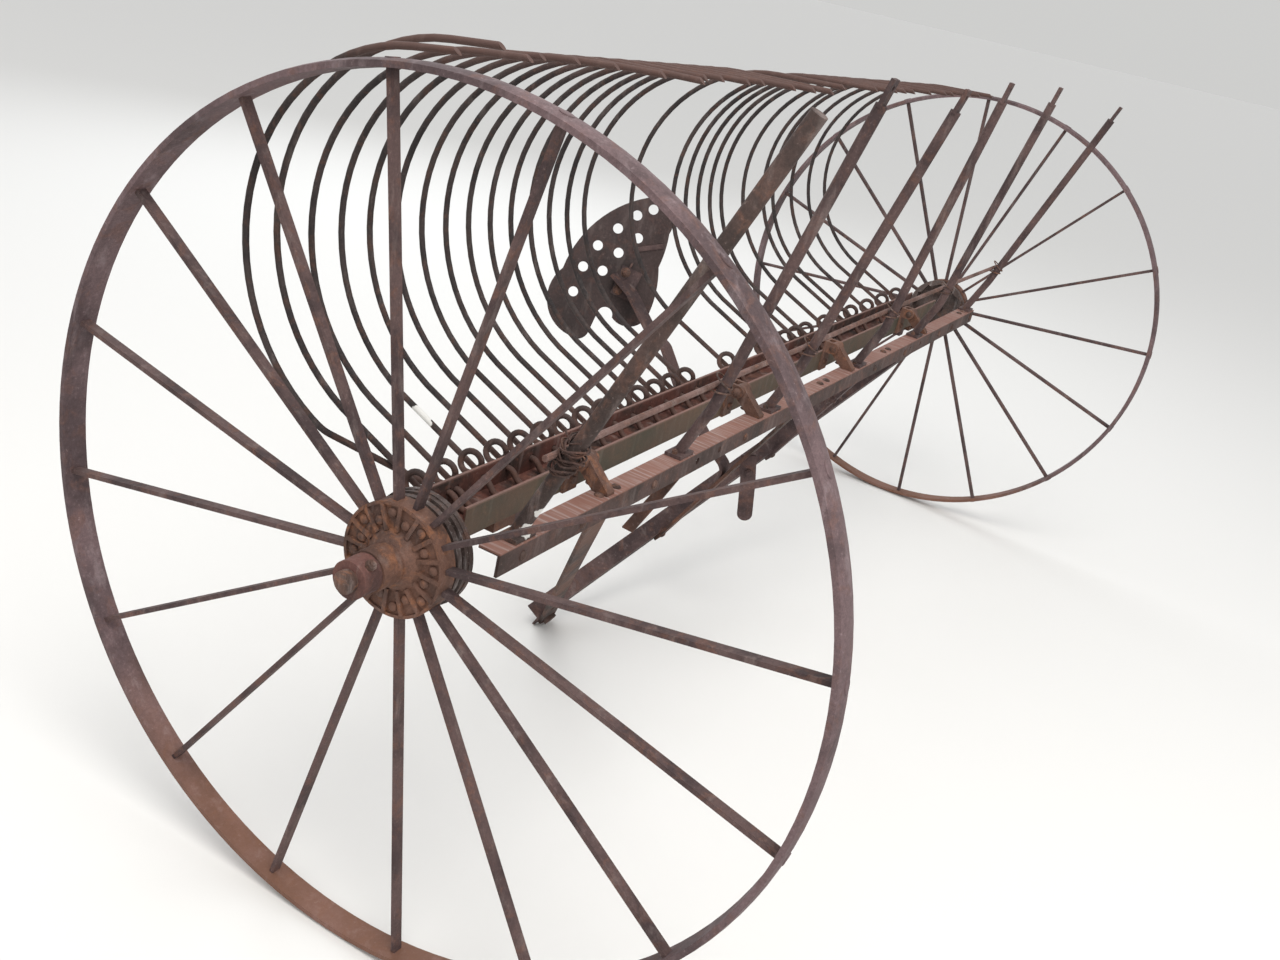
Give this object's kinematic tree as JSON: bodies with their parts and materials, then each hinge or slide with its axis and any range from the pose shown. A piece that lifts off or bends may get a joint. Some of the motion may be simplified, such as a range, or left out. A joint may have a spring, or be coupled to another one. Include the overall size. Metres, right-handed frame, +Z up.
{
  "type": "horse-drawn dump hay rake",
  "caption": "Horse-drawn dump hay rake turned over on its back, with curved spring teeth, cleaner rods, hound frame, perforated seat and two flat-spoked wheels.",
  "frame": {"origin": "on the ground, under the middle of the axle", "axes": "+X along the axle to the right wheel, +Y to the teeth, +Z up"},
  "size_m": [3.206, 1.4196, 1.5139],
  "materials": {
    "rusty_steel": "rusted rolled steel, matte brown to purple-brown",
    "rusty_iron": "rusted cast iron, matte brown with orange patches",
    "spring_steel": "dark brown rusted spring wire",
    "seat_steel": "dark brown rusted pressed steel",
    "channel_steel": "rusted rolled steel with pale streaks"
  },
  "bodies": {
    "head": {"tooth_channel": "channel_steel", "teeth": "spring_steel", "axle_left": "rusty_steel", "axle_right": "rusty_steel", "collar_left": "rusty_steel", "collar_right": "rusty_steel", "saddle_left": "rusty_iron", "saddle_right": "rusty_iron", "hinge_lugs": "rusty_iron"},
    "wheel_left": {"rim_left": "rusty_steel", "spokes_left": "rusty_steel", "hub_left": "rusty_iron", "drum_left": "rusty_iron"},
    "wheel_right": {"rim_right": "rusty_steel", "spokes_right": "rusty_steel", "hub_right": "rusty_iron", "drum_right": "rusty_iron"},
    "frame": {"front_bar": "rusty_steel", "hinge_straps": "rusty_iron", "near_hound": "rusty_steel", "far_hound": "rusty_steel", "apex_bolt": "rusty_steel", "centre_brace": "rusty_steel", "long_strut": "rusty_steel", "cleaner_rod_1": "rusty_steel", "cleaner_rod_2": "rusty_steel", "cleaner_rod_3": "rusty_steel", "cleaner_rod_4": "rusty_steel", "cleaner_rod_5": "rusty_steel", "cleaner_rod_6": "rusty_steel", "tie_rod": "rusty_steel", "seat_spring": "rusty_steel", "seat_pan": "seat_steel"}
  },
  "joints": [
    {"name": "wheel_left_spin", "type": "hinge", "parent": "head", "child": "wheel_left", "pos_m": [-1.489, 0, 0.71], "axis": [1, 0, 0], "continuous": true},
    {"name": "wheel_right_spin", "type": "hinge", "parent": "head", "child": "wheel_right", "pos_m": [1.489, 0, 0.71], "axis": [1, 0, 0], "continuous": true},
    {"name": "frame_fold", "type": "hinge", "parent": "head", "child": "frame", "pos_m": [0, -0.075, 0.8], "axis": [1, 0, 0], "range_deg": [-105, 0]}
  ]
}
